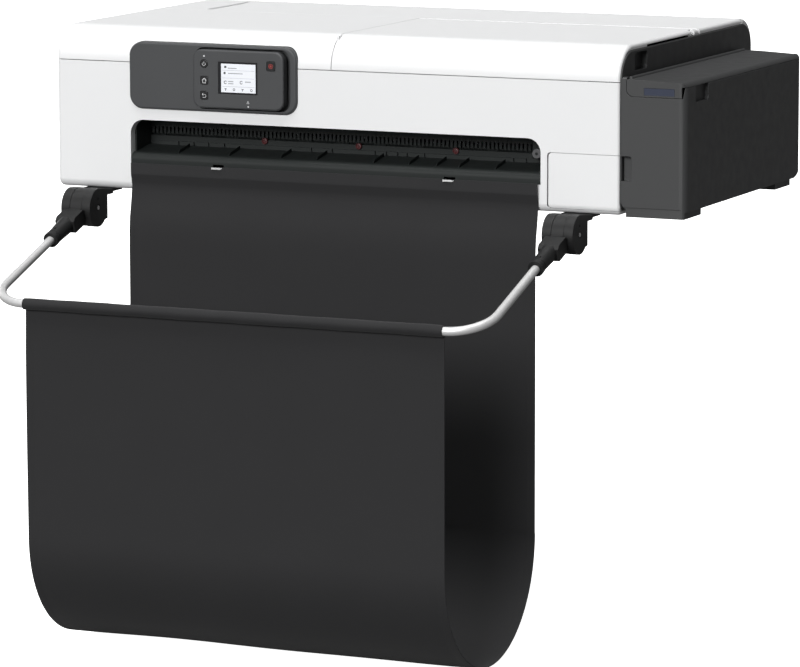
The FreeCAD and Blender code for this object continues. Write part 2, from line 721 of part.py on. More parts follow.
def rear_connectors():
    inlet = box(700, 731, 502, DEPTH - 0.6, 20, 46).cut(box(704, 727, 510, DEPTH, 24, 42))
    pins = [box(x, x + 2, 508, 519, z, z + 5) for x, z in ((709, 30), (720, 30), (714.5, 36))]
    data = box(640, 690, 502, DEPTH - 0.6, 20, 40)
    data = data.cut(box(645, 661, 510, DEPTH, 24, 37)).cut(box(669, 681, 510, DEPTH, 25, 36))
    return Part.makeCompound([inlet.fuse(pins), data])


def roll_spindle():
    shaft = rod_x(12, ROLL, 86, 790)
    flanges = [rod_x(52, ROLL, 116, 122), rod_x(24.5, ROLL, 122, 146), rod_x(52, ROLL, 750, 756),
               rod_x(24.5, ROLL, 726, 750)]
    return shaft.fuse(flanges).removeSplitter()


def roll_cradle():
    """Two open-topped spindle posts, and the curved tray under the roll on three legs."""
    parts = []
    for x0 in (92.0, 766.0):
        post = box(x0, x0 + 14, ROLL[0] - 22, ROLL[0] + 22, 5.4, ROLL[1] + 6)
        slot = box(x0 - 1, x0 + 15, ROLL[0] - 12 - RUN, ROLL[0] + 12 + RUN, ROLL[1], ROLL[1] + 30)
        parts.append(post.cut(slot).cut(rod_x(12 + RUN, ROLL, x0 - 1, x0 + 15)))
    ring = rod_x(60, ROLL, 112, 760).cut(rod_x(58, ROLL, 110, 762))
    ring = ring.common(box(110, 762, 340, 490, 40, ROLL[1] - 22))
    legs = [box(x, x + 2.5, ROLL[0] - 30, ROLL[0] + 30, 5.4, 63.5).cut(rod_x(59, ROLL, x - 1, x + 5))
            for x in (150.0, 436.0, 720.0)]
    parts.append(ring.fuse(legs))
    return Part.makeCompound(parts)


def basket_bracket(x):
    """Fork under the body: two cheeks round the hub, joined by the mounting plate behind it."""
    cy, cz = HUB
    rel = [(-4, 8), (8, 27.0), (20, 25.6), (41, 22.6), (74, 22.6), (74, 18.6), (47, 18.6), (45, 15.6), (28, 15.6),
           (28, -18), (14, -20), (9, -25), (-4, -20)]
    body = prism_x([(cy + p[0], cz + p[1]) for p in rel], x - 23, x + 23)
    body = body.fuse(rod_x(HUB_R, HUB, x - 23, x + 23)).removeSplitter()
    body = body.cut(rod_x(HUB_R + 0.7, HUB, x - 9.4, x + 9.4))
    body = body.cut(rod_x(3.0, HUB, x - 25, x + 25))
    for face in (x - 23, x + 22):
        body = body.cut(rod_x(5.0, HUB, face, face + 1))
        body = body.cut(rod_x(2.1, (cy - 1.9, cz + 12.4), face, face + 1))
    body = body.cut(box(x - 11, x - 2, cy + 34, cy + 42, -10, 2))
    for side in (-12, 12):
        body = body.cut(rod_z(2.6, x + side, cy + 62, -10, 2))
    return body


def basket_brackets():
    return Part.makeCompound([basket_bracket(x) for x in HUB_X])


def pivot_pins():
    return Part.makeCompound([rod_x(3.0, HUB, x - 22, x + 22.9) for x in HUB_X])


def drop(shape):
    """Turns a part drawn with level arms down to the arms' resting slope."""
    shape.rotate(FreeCAD.Vector(0, HUB[0], HUB[1]), FreeCAD.Vector(1, 0, 0), ARM_DROP)
    return shape


def arm_socket(x):
    cy, cz = HUB
    hub = rod_x(HUB_R - 0.5, HUB, x - 9.1, x + 9.1)
    tongue = box(x - 9.1, x + 9.1, cy - 34, cy - 10, cz - 10, cz + 10)
    block = prism_x([(cy - 29.5, cz - 11), (cy - 29.5, cz + 11), (cy - 56, cz + 11), (cy - 62, cz + 7),
                     (cy - 62, cz - 11)], x - 15, x + 15)
    side = edges_at(block, lambda b: b.XLength > 20)
    block = block.makeFillet(1.5, side)
    neck = Part.makeCone(12.5, 10.6, 40, FreeCAD.Vector(x, cy - 58, cz), FreeCAD.Vector(0, -1, 0))
    ring = rod_y(11.2, x, cz, cy - 109, cy - 101)
    stem = rod_y(10.2, x, cz, cy - 104, cy - 90)
    stud = rod_z(2.4, x, cy - 92, cz, cz + 12)
    body = hub.fuse([tongue, block, neck, ring, stem, stud])
    body = body.cut(rod_y(TUBE_R + 0.03, x, cz, cy - 110, cy - 66))
    return drop(body.cut(rod_x(3.0 + RUN, HUB, x - 20, x + 20))).removeSplitter()


def arm_sockets():
    return Part.makeCompound([arm_socket(x) for x in HUB_X])


def basket_tube():
    y_bar, z = HUB[0] - ARM_LEN, HUB[1]
    y_start = HUB[0] - 66.2
    x0, x1 = HUB_X
    k = BEND_R * (1 - math.sqrt(0.5))

    def v(x, y):
        return FreeCAD.Vector(x, y, z)

    path = Part.Wire([
        Part.makeLine(v(x0, y_start), v(x0, y_bar + BEND_R)),
        Part.Arc(v(x0, y_bar + BEND_R), v(x0 + k, y_bar + k), v(x0 + BEND_R, y_bar)).toShape(),
        Part.makeLine(v(x0 + BEND_R, y_bar), v(x1 - BEND_R, y_bar)),
        Part.Arc(v(x1 - BEND_R, y_bar), v(x1 - k, y_bar + k), v(x1, y_bar + BEND_R)).toShape(),
        Part.makeLine(v(x1, y_bar + BEND_R), v(x1, y_start)),
    ])

    def sweep(r):
        ring = Part.Wire([Part.makeCircle(r, v(x0, y_start), FreeCAD.Vector(0, -1, 0))])
        return path.makePipeShell([ring], True, False)

    return drop(sweep(TUBE_R).cut(sweep(TUBE_R - 1.2)))


def basket_sleeve():
    axis = (HUB[0] - ARM_LEN, HUB[1])
    return drop(rod_x(8.2, axis, 121, 751.4).cut(rod_x(TUBE_R + 0.2, axis, 110, 760)))


def bar_axis():
    a = math.radians(ARM_DROP)
    return (HUB[0] - ARM_LEN * math.cos(a), HUB[1] - ARM_LEN * math.sin(a))


def cloth_front():
    return box(CLOTH[0], CLOTH[1], CLOTH_FRONT, CLOTH_FRONT + CLOTH_T, CLOTH_SPLIT + 0.3, bar_axis()[1] - 8.6)


def cloth_pouch():
    """Hanging loop: straight front wall, half-round bottom, ending low on the back wall."""
    radius = (CLOTH_BACK - CLOTH_FRONT) / 2
    mid = (CLOTH_BACK + CLOTH_FRONT) / 2
    low = CLOTH_LOW - radius
    t = CLOTH_T
    steps = [
        (CLOTH_FRONT, CLOTH_SPLIT), (CLOTH_FRONT, CLOTH_LOW), ((mid, low), (CLOTH_BACK, CLOTH_LOW)),
        (CLOTH_BACK - t, CLOTH_LOW), ((mid, low + t), (CLOTH_FRONT + t, CLOTH_LOW)), (CLOTH_FRONT + t, CLOTH_SPLIT),
    ]
    return prism_x(steps, CLOTH[0], CLOTH[1])


def cloth_back():
    t = CLOTH_T
    b = CLOTH_BACK
    steps = [
        (b - t, CLOTH_LOW + 0.3), (b, CLOTH_LOW + 0.3), (b, -60), (-7.2 + t, -24), (-0.6, 10), (-4.6, 25), (-4.6, 40),
        (-4.6 - t, 40), (-4.6 - t, 24.8), (-1.8, 9.8), (-7.2, -24), (b - t, -60),
    ]
    strip = box(CLOTH[0] + 2, CLOTH[1] - 2, -4.7, -0.6, 26, 39.5)
    wall = prism_x(steps, CLOTH[0], CLOTH[1]).fuse(strip)
    for x in HOOK_X:
        wall = wall.cut(box(x - HOOK_HALF, x + HOOK_HALF, -8, 0, 36.6, 42.8))
    return wall


def basket_hooks():
    hooks = []
    for x in HOOK_X:
        tab = box(x - 7.6, x + 7.6, -7, -0.4, 36.8, 38.0)
        hooks.append(tab.fuse(box(x - 7.6, x + 7.6, -7, -5.8, 36.8, 39.4)))
    return Part.makeCompound(hooks)


def main():
    os.makedirs("parts", exist_ok=True)
    skin = casing()
    covers = (lower_front_cover, upper_left_cover, access_cover, roll_cover, left_side_cover, rear_cover,
              maintenance_cover)
    for make in covers:
        save(make.__name__, make(skin))
    plain = (
        right_side_panel, hinge_beam, base_pan, rubber_feet, chassis, carriage_rail, guide_shaft, carriage,
        print_head, timing_belt, motor_pulley, idler_pulley, drive_motors, platen, feed_roller, motor_gear,
        pinch_rollers, pinch_holder, exit_roller, star_wheels, exit_bars, cutter_carriage, cutter_wheel,
        capping_station, maintenance_cartridge, output_guide, panel_frame, control_pod, indicator_lamps,
        display_glass, display_screen, ink_housing, ink_cover, ink_light, ink_tanks, tank_caps, electronics,
        rear_connectors, roll_spindle, roll_cradle, basket_brackets, pivot_pins, arm_sockets, basket_tube,
        basket_sleeve, cloth_front, cloth_pouch, cloth_back, basket_hooks,
    )
    for make in plain:
        save(make.__name__, make())
    for index, name in enumerate(("power_button", "home_button", "back_button", "stop_button")):
        save(name, button(index))


main()
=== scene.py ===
import json
import math

import bmesh
import bpy
from mathutils import Matrix, Vector


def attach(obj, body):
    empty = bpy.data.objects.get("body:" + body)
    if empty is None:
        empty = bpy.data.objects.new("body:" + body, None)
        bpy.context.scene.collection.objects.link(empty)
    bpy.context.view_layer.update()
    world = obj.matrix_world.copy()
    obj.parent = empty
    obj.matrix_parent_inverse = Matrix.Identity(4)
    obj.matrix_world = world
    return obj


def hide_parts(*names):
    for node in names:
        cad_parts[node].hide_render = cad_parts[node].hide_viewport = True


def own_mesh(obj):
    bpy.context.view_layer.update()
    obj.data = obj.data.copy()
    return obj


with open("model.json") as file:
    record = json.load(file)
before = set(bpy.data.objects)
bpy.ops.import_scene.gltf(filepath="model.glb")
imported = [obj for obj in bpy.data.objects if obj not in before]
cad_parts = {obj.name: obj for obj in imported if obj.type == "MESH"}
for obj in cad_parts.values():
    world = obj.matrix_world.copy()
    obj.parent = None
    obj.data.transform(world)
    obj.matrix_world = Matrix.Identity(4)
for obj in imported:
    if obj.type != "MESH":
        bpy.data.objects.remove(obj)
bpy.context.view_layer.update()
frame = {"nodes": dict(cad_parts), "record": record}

nodes = frame["nodes"]
body_of = {n: b for b, names in frame["record"]["behaviour"]["bodies"].items() for n in names}

MM = 0.001


def at(x, y, z):
    """A point given in mm from the unit's left face, front face and desk plane, in the row frame."""
    return Vector(((x - 484.0) * MM, (y - 262.5) * MM, z * MM))


# ---------------------------------------------------------------- materials

def new_material(name):
    mat = bpy.data.materials.new(name)
    mat.use_nodes = True
    return mat, mat.node_tree.nodes, mat.node_tree.links, mat.node_tree.nodes["Principled BSDF"]


def noise(nt, links, scale, detail=2.0, coords=None, stretch=None):
    node = nt.new("ShaderNodeTexNoise")
    node.inputs["Scale"].default_value = scale
    node.inputs["Detail"].default_value = detail
    if coords is None:
        coords = nt.new("ShaderNodeTexCoord").outputs["Object"]
    if stretch:
        mapping = nt.new("ShaderNodeMapping")
        mapping.inputs["Scale"].default_value = stretch
        links.new(coords, mapping.inputs["Vector"])
        coords = mapping.outputs["Vector"]
    links.new(coords, node.inputs["Vector"])
    return node


def spread(nt, links, source, low, high):
    """Maps a 0 to 1 value on to a range."""
    node = nt.new("ShaderNodeMapRange")
    node.inputs["From Min"].default_value = 0.3
    node.inputs["From Max"].default_value = 0.7
    node.inputs["To Min"].default_value = low
    node.inputs["To Max"].default_value = high
    links.new(source, node.inputs["Value"])
    return node.outputs["Result"]


def tint(nt, links, factor, dark, light):
    node = nt.new("ShaderNodeMix")
    node.data_type = "RGBA"
    node.inputs["A"].default_value = (*dark, 1)
    node.inputs["B"].default_value = (*light, 1)
    links.new(factor, node.inputs["Factor"])
    return node.outputs["Result"]


def round_edges(nt, links, radius):
    node = nt.new("ShaderNodeBevel")
    node.samples = 4
    node.inputs["Radius"].default_value = radius
    return node.outputs["Normal"]


def bump(nt, links, height, strength, distance, normal=None):
    node = nt.new("ShaderNodeBump")
    node.inputs["Strength"].default_value = strength
    node.inputs["Distance"].default_value = distance
    links.new(height, node.inputs["Height"])
    if normal is not None:
        links.new(normal, node.inputs["Normal"])
    return node.outputs["Normal"]


def plastic(name, colour, rough, grain=1400.0, depth=0.00004, drift=0.06, edge=0.0006, coat=0.0, spec=0.5):
    """Moulded plastic: spark-eroded grain, slow colour drift, uneven sheen and softened edges."""
    mat, nt, links, bsdf = new_material(name)
    slow = noise(nt, links, 7.0, 3.0)
    dark = tuple(c * (1 - drift) for c in colour)
    light = tuple(min(1.0, c * (1 + drift)) for c in colour)
    links.new(tint(nt, links, slow.outputs["Fac"], dark, light), bsdf.inputs["Base Color"])
    fine = noise(nt, links, grain, 2.0)
    rub = noise(nt, links, 60.0, 4.0)
    links.new(spread(nt, links, rub.outputs["Fac"], rough - 0.04, rough + 0.05), bsdf.inputs["Roughness"])
    normal = bump(nt, links, fine.outputs["Fac"], 0.35, depth, round_edges(nt, links, edge))
    links.new(normal, bsdf.inputs["Normal"])
    bsdf.inputs["Specular IOR Level"].default_value = spec
    bsdf.inputs["Coat Weight"].default_value = coat
    return mat


def metal(name, colour, rough, stretch=(4.0, 400.0, 400.0), edge=0.0004, weight=1.0):
    """Metal with fine drawn or ground lines along one axis."""
    mat, nt, links, bsdf = new_material(name)
    bsdf.inputs["Metallic"].default_value = weight
    lines = noise(nt, links, 6.0, 3.0, stretch=stretch)
    dark = tuple(c * 0.93 for c in colour)
    links.new(tint(nt, links, lines.outputs["Fac"], dark, colour), bsdf.inputs["Base Color"])
    links.new(spread(nt, links, lines.outputs["Fac"], rough - 0.05, rough + 0.07), bsdf.inputs["Roughness"])
    links.new(bump(nt, links, lines.outputs["Fac"], 0.15, 0.00003, round_edges(nt, links, edge)), bsdf.inputs["Normal"])
    return mat


def cloth_material(name, warp, weft):
    """Close plain weave on the sheet's own UVs, which are in metres."""
    mat, nt, links, bsdf = new_material(name)
    coords = nt.new("ShaderNodeTexCoord").outputs["UV"]
    split = nt.new("ShaderNodeSeparateXYZ")
    links.new(coords, split.inputs["Vector"])

    def ripple(axis, pitch, phase):
        scale = nt.new("ShaderNodeMath")
        scale.operation = "MULTIPLY_ADD"
        scale.inputs[1].default_value = 2 * math.pi / pitch
        scale.inputs[2].default_value = phase
        links.new(split.outputs[axis], scale.inputs[0])
        sine = nt.new("ShaderNodeMath")
        sine.operation = "SINE"
        links.new(scale.outputs[0], sine.inputs[0])
        return sine.outputs[0]

    weave = nt.new("ShaderNodeMath")
    weave.operation = "MULTIPLY"
    links.new(ripple("X", 0.0011, 0.0), weave.inputs[0])
    links.new(ripple("Y", 0.0011, 0.7), weave.inputs[1])
    slub = noise(nt, links, 900.0, 2.0, coords)
    cloud = noise(nt, links, 9.0, 3.0, coords)
    total = nt.new("ShaderNodeMath")
    total.operation = "MULTIPLY_ADD"
    total.inputs[1].default_value = 0.35
    links.new(weave.outputs[0], total.inputs[0])
    links.new(slub.outputs["Fac"], total.inputs[2])
    links.new(tint(nt, links, cloud.outputs["Fac"], warp, weft), bsdf.inputs["Base Color"])
    bsdf.inputs["Roughness"].default_value = 0.82
    bsdf.inputs["Sheen Weight"].default_value = 0.08
    bsdf.inputs["Sheen Roughness"].default_value = 0.5
    bsdf.inputs["Specular IOR Level"].default_value = 0.3
    links.new(bump(nt, links, total.outputs[0], 0.5, 0.00015), bsdf.inputs["Normal"])
    return mat


def glow(name, colour, strength, rough=0.3):
    mat, nt, links, bsdf = new_material(name)
    haze = noise(nt, links, 40.0, 2.0)
    dim = tuple(c * 0.94 for c in colour)
    shade = tint(nt, links, haze.outputs["Fac"], dim, colour)
    links.new(shade, bsdf.inputs["Base Color"])
    links.new(shade, bsdf.inputs["Emission Color"])
    bsdf.inputs["Emission Strength"].default_value = strength
    bsdf.inputs["Roughness"].default_value = rough
    return mat


def clear_plastic(name, colour, rough):
    mat, nt, links, bsdf = new_material(name)
    cloud = noise(nt, links, 30.0, 3.0)
    links.new(tint(nt, links, cloud.outputs["Fac"], tuple(c * 0.9 for c in colour), colour), bsdf.inputs["Base Color"])
    bsdf.inputs["Roughness"].default_value = rough
    bsdf.inputs["Transmission Weight"].default_value = 0.35
    bsdf.inputs["IOR"].default_value = 1.49
    return mat


WHITE = plastic("cover_white", (0.86, 0.865, 0.87), 0.46, grain=900.0, depth=0.00002, drift=0.012, edge=0.0007)
BLACK = plastic("case_black", (0.045, 0.046, 0.047), 0.5, grain=1300.0, depth=0.00002, edge=0.0009)
CHARCOAL = plastic("panel_charcoal", (0.057, 0.059, 0.062), 0.48, grain=1500.0, depth=0.00002, edge=0.0007)
MECH = plastic("mech_black", (0.017, 0.02, 0.0195), 0.5, grain=800.0, depth=0.00003, edge=0.0004, spec=0.25)
# Darker copy of the black case plastic: the extra darkness is painted shade for the brackets and arm sockets, which
# face the unlit right side.
SHADED_BLACK = plastic("black_painted_shade", (0.0145, 0.0147, 0.015), 0.5, grain=1100.0, depth=0.00003, edge=0.0009, spec=0.3)
KEY = plastic("key_black", (0.02, 0.02, 0.021), 0.28, grain=2000.0, depth=0.00001, edge=0.0003, coat=0.3)
GREY = plastic("roller_grey", (0.27, 0.28, 0.29), 0.4, grain=900.0, depth=0.00003, edge=0.0004)
RUBBER = plastic("rubber_black", (0.03, 0.03, 0.03), 0.8, grain=600.0, depth=0.0001, edge=0.0003, spec=0.3)
BOARD = plastic("board_green", (0.02, 0.16, 0.07), 0.35, grain=500.0, depth=0.00008, drift=0.2)
ZINC = metal("sheet_zinc", (0.62, 0.63, 0.64), 0.42, stretch=(60.0, 60.0, 60.0))
STEEL = metal("ground_steel", (0.66, 0.66, 0.67), 0.28)
WORN = metal("blade_steel", (0.16, 0.16, 0.165), 0.4)
TUBE = metal("tube_satin", (0.72, 0.72, 0.72), 0.45, stretch=(30.0, 30.0, 30.0), weight=0.35)
GLASS = plastic("cover_glass", (0.012, 0.012, 0.014), 0.12, grain=60.0, depth=0.000002, edge=0.0002, coat=0.6)
LIT = glow("display_lit", (0.78, 0.80, 0.84), 0.25)
INKBAR = glow("light_bar", (0.035, 0.042, 0.068), 0.12, 0.3)
LAMP = glow("lamp_lens", (0.62, 0.63, 0.64), 0.2)
MARK = plastic("print_grey", (0.62, 0.63, 0.64), 0.5, grain=2000.0, depth=0.000005, edge=0.00005)
DIM = plastic("print_dim", (0.09, 0.095, 0.1), 0.5, grain=2000.0, depth=0.000005, edge=0.00005)
RULE = plastic("print_mid", (0.30, 0.31, 0.33), 0.5, grain=2000.0, depth=0.000005, edge=0.00005)
RED = plastic("print_red", (0.40, 0.05, 0.045), 0.4, grain=2000.0, depth=0.000005, edge=0.00005)
DARKRED = plastic("disc_red", (0.075, 0.012, 0.014), 0.4, grain=900.0, depth=0.00003, edge=0.0002)
CLOTH = cloth_material("cloth_black", (0.0195, 0.0195, 0.0205), (0.0225, 0.0225, 0.0237))
BAND = cloth_material("cloth_band", (0.0235, 0.0235, 0.0247), (0.0265, 0.0265, 0.0279))
TANK = clear_plastic("tank_clear", (0.62, 0.64, 0.66), 0.3)

by_slot = {
    "cover_white": WHITE, "case_black": BLACK, "panel_charcoal": CHARCOAL, "mech_black": MECH, "button_black": KEY,
    "lamp": LAMP, "screen_glass": GLASS, "screen_lit": LIT, "light_bar": INKBAR, "sheet_steel": ZINC,
    "bright_steel": STEEL, "tube_aluminium": TUBE, "rubber": RUBBER, "cloth": CLOTH, "tank_plastic": TANK,
    "board": BOARD, "roller_grey": GREY,
}
slot_of = {s["node"]: s["material_slot"] for s in frame["record"]["subparts"]}

# Per-node paint: the blade's own worn steel, and the darker black with painted shade for the brackets and arm sockets.
own_colour_and_painted_shade = {"cutter_wheel": WORN, "basket_brackets": SHADED_BLACK, "arm_sockets": SHADED_BLACK}

for name, obj in nodes.items():
    paint = own_colour_and_painted_shade.get(name, by_slot[slot_of[name]])
    if not obj.material_slots:
        obj.data.materials.append(paint)
    for entry in obj.material_slots:
        entry.material = paint


# ---------------------------------------------------------------- mesh helpers

def add_object(name, mesh, mat, body):
    obj = bpy.data.objects.new(name, mesh)
    bpy.context.scene.collection.objects.link(obj)
    if mat is not None:
        mesh.materials.append(mat)
    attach(obj, body)
    return obj


def soften(node, width, segments=2, angle=40.0):
    """Stands for a CAD node: the same shape with its sharp edges really rounded."""
    mesh = nodes[node].data.copy()
    mesh.name = node + "_soft"
    bm = bmesh.new()
    bm.from_mesh(mesh)
    bmesh.ops.remove_doubles(bm, verts=bm.verts, dist=1e-6)
    bmesh.ops.dissolve_limit(bm, angle_limit=math.radians(0.3), verts=bm.verts, edges=bm.edges)
    for face in bm.faces:
        face.smooth = True
    bm.to_mesh(mesh)
    bm.free()
    obj = bpy.data.objects.new(node + "_soft", mesh)
    bpy.context.scene.collection.objects.link(obj)
    bevel = obj.modifiers.new("bevel", "BEVEL")
    bevel.width = width
    bevel.segments = segments
    bevel.limit_method = "ANGLE"
    bevel.angle_limit = math.radians(angle)
    bevel.use_clamp_overlap = True
    bevel.miter_outer = "MITER_ARC"
    bevel.harden_normals = True
    even = obj.modifiers.new("even", "WEIGHTED_NORMAL")
    even.weight = 90
    graph = bpy.context.evaluated_depsgraph_get()
    made = bpy.data.meshes.new_from_object(obj.evaluated_get(graph))
    obj.modifiers.clear()
    obj.data = made
    made.materials.clear()
    made.materials.append(own_colour_and_painted_shade.get(node, by_slot[slot_of[node]]))
    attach(obj, body_of[node])
    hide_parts(node)
    return obj


def smooth_by_angle(mesh, degrees):
    bm = bmesh.new()
    bm.from_mesh(mesh)
    for face in bm.faces:
        face.smooth = True
    for edge in bm.edges:
        edge.smooth = len(edge.link_faces) == 2 and edge.calc_face_angle() < math.radians(degrees)
    bm.to_mesh(mesh)
    bm.free()


def decal(name, outlines, y, mat, body, thick=0.00012):
    """Thin printed or moulded mark on a front face. Each outline is a loop of (x, z) in unit mm."""
    bm = bmesh.new()
    for loop in outlines:
        verts = [bm.verts.new(at(x, y, z)) for x, z in loop]
        face = bm.faces.new(verts)
        if face.normal.y > 0:
            face.normal_flip()
    bm.normal_update()
    made = bmesh.ops.extrude_face_region(bm, geom=bm.faces[:])
    moved = [v for v in made["geom"] if isinstance(v, bmesh.types.BMVert)]
    bmesh.ops.translate(bm, verts=moved, vec=(0, -thick, 0))
    bmesh.ops.recalc_face_normals(bm, faces=bm.faces[:])
    mesh = bpy.data.meshes.new(name)
    bm.to_mesh(mesh)
    bm.free()
    return add_object(name, mesh, mat, body)


def ring_loop(cx, cz, r, start, stop, count, width):
    """Arc-shaped stroke as one loop."""
    outer = [(cx + (r + width / 2) * math.cos(a), cz + (r + width / 2) * math.sin(a))
             for a in [math.radians(start + (stop - start) * i / count) for i in range(count + 1)]]
    inner = [(cx + (r - width / 2) * math.cos(a), cz + (r - width / 2) * math.sin(a))
             for a in [math.radians(start + (stop - start) * i / count) for i in range(count + 1)]]
    return outer + inner[::-1]


def rect_loop(x0, x1, z0, z1):
    return [(x0, z0), (x1, z0), (x1, z1), (x0, z1)]


def round_rect(cx, cz, w, h, r, count=4):
    points = []
    for sx, sz, start in ((1, 1, 0), (-1, 1, 90), (-1, -1, 180), (1, -1, 270)):
        for i in range(count + 1):
            a = math.radians(start + 90 * i / count)
            points.append((cx + sx * (w / 2 - r) + r * math.cos(a), cz + sz * (h / 2 - r) + r * math.sin(a)))
    return points


# ---------------------------------------------------------------- cloth basket

HUB = (-43.0, -22.0)
ARM = 301.4
DROP = math.radians(19.0)
BAR = (HUB[0] - ARM * math.cos(DROP), HUB[1] - ARM * math.sin(DROP))
CLOTH_X = (121.2, 751.2)
FRONT_Y, BACK_Y = -324.7, -11.0
SPLIT_Z, LOW_Z = -300.0, -450.0
BAG_R = (BACK_Y - FRONT_Y) / 2
BAG_Y = (BACK_Y + FRONT_Y) / 2
THICK = 0.9


def billow(x, s):
    """Slow unevenness of the hanging sheet in mm, from place across and place along it."""
    side = min(x - CLOTH_X[0], CLOTH_X[1] - x)
    calm = min(1.0, max(0.0, s / 60.0))
    wave = 0.9 * math.sin(x * 0.0105 + 0.6 + s * 0.0016) + 0.5 * math.sin(x * 0.021 - s * 0.0045 + 1.1)
    wave += 0.35 * math.sin(s * 0.012 + x * 0.004)
    curl = 0.7 * math.exp(-side / 22.0) * math.sin(s * 0.009 + 0.4)
    return calm * (wave + curl)


def sheet(name, path, offset, node, body, wavy=1.0, notches=()):
    """Closed sheet along a path of (y, z, normal y, normal z, length along) rows, with raised side hems.

    A notch is an opening for a hook, cut down from the last row.
    """
    columns = []
    steps = 46
    for i in range(steps + 1):
        columns.append(CLOTH_X[0] + (CLOTH_X[1] - CLOTH_X[0]) * i / steps)
    for extra in (1.0, 10.5, 11.5, 12.5):
        columns += [CLOTH_X[0] + extra, CLOTH_X[1] - extra]
    for x in notches:
        columns += [x - 8.65, x - 8.55, x + 8.55, x + 8.65]
    columns = sorted(set(columns))
    bm = bmesh.new()
    uv = bm.loops.layers.uv.new("UVMap")
    grid = {}
    for side in (0, 1):
        for r, (y, z, ny, nz, s) in enumerate(path):
            for c, x in enumerate(columns):
                edge = min(x - CLOTH_X[0], CLOTH_X[1] - x)
                raised = 0.16 if edge < 11.0 else 0.0
                lift = wavy * billow(x, s) + (THICK / 2 + raised) * (1 if side == 0 else -1)
                cut = r == len(path) - 1 and any(abs(x - n) < 8.6 for n in notches)
                place = at(x, y + ny * lift, 36.6 if cut else z + nz * lift)
                grid[side, r, c] = (bm.verts.new(place), x * MM, (s + offset) * MM)
    rows, cols = len(path), len(columns)

    def quad(keys):
        face = bm.faces.new([grid[k][0] for k in keys])
        face.smooth = True
        for loop, k in zip(face.loops, keys):
            loop[uv].uv = (grid[k][1], grid[k][2])

    for side in (0, 1):
        for r in range(rows - 1):
            for c in range(cols - 1):
                keys = [(side, r, c), (side, r, c + 1), (side, r + 1, c + 1), (side, r + 1, c)]
                quad(keys if side else keys[::-1])
    for r in range(rows - 1):
        quad([(0, r, 0), (0, r + 1, 0), (1, r + 1, 0), (1, r, 0)])
        quad([(0, r, cols - 1), (1, r, cols - 1), (1, r + 1, cols - 1), (0, r + 1, cols - 1)])
    for c in range(cols - 1):
        quad([(0, 0, c), (1, 0, c), (1, 0, c + 1), (0, 0, c + 1)])
        quad([(0, rows - 1, c), (0, rows - 1, c + 1), (1, rows - 1, c + 1), (1, rows - 1, c)])
    bmesh.ops.recalc_face_normals(bm, faces=bm.faces[:])
    mesh = bpy.data.meshes.new(name)
    bm.to_mesh(mesh)
    bm.free()
    smooth_by_angle(mesh, 50.0)
    obj = bpy.data.objects.new(name, mesh)
    bpy.context.scene.collection.objects.link(obj)
    mesh.materials.append(CLOTH)
    mesh.materials.append(BAND)
    for face in mesh.polygons:
        if face.center.z > 0.0242:
            face.material_index = 1
    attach(obj, body)
    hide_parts(node)
    return obj


def front_path():
    top, rows = -126.4, 22
    drop = (top - SPLIT_Z) / rows
    return [(FRONT_Y + THICK / 2, top - drop * i, -1, 0, drop * i) for i in range(rows + 1)]


def pouch_path():
    """Front wall, half-round bottom and the start of the back wall."""
    mid_r = BAG_R - THICK / 2
    s = -126.4 - SPLIT_Z
    rows = []
    for i in range(19):
        z = SPLIT_Z + (LOW_Z - SPLIT_Z) * i / 19
        rows.append((BAG_Y - mid_r, z, -1, 0, s + SPLIT_Z - z))
    s += SPLIT_Z - LOW_Z
    for i in range(61):
        a = math.pi * i / 60
        rows.append((BAG_Y - mid_r * math.cos(a), LOW_Z - mid_r * math.sin(a), -math.cos(a), -math.sin(a), s + mid_r * a))
    return rows


def back_path():
    s = -126.4 - LOW_Z + math.pi * (BAG_R - THICK / 2)
    points = [(BACK_Y - THICK / 2, LOW_Z)]
    points += [(BACK_Y - THICK / 2, LOW_Z + 390.0 * i / 30) for i in range(1, 31)]
    points += [(-10.6, -48), (-9.4, -36), (-7.0, -24), (-4.6, -12), (-2.8, 0), (-1.6, 9), (-2.4, 13), (-4.2, 21),
               (-5.0, 24.0), (-5.1, 24.8), (-5.1, 28), (-5.1, 36.2), (-5.1, 40.0)]
    rows = []
    for i, (y, z) in enumerate(points):
        a, b = points[max(0, i - 1)], points[min(len(points) - 1, i + 1)]
        dy, dz = b[0] - a[0], b[1] - a[1]
        n = math.hypot(dy, dz)
        if i:
            s += math.hypot(y - points[i - 1][0], z - points[i - 1][1])
        rows.append((y, z, dz / n, -dy / n, s))
    return rows


cloth_front = sheet("basket_cloth_front", front_path(), 0.0, "cloth_front", "cloth_front")
cloth_pouch = sheet("basket_cloth_pouch", pouch_path(), 0.0, "cloth_pouch", "base")
cloth_back = sheet("basket_cloth_back", back_path(), 0.0, "cloth_back", "base", wavy=0.0, notches=(257.7, 616.5))
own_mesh(cloth_pouch)


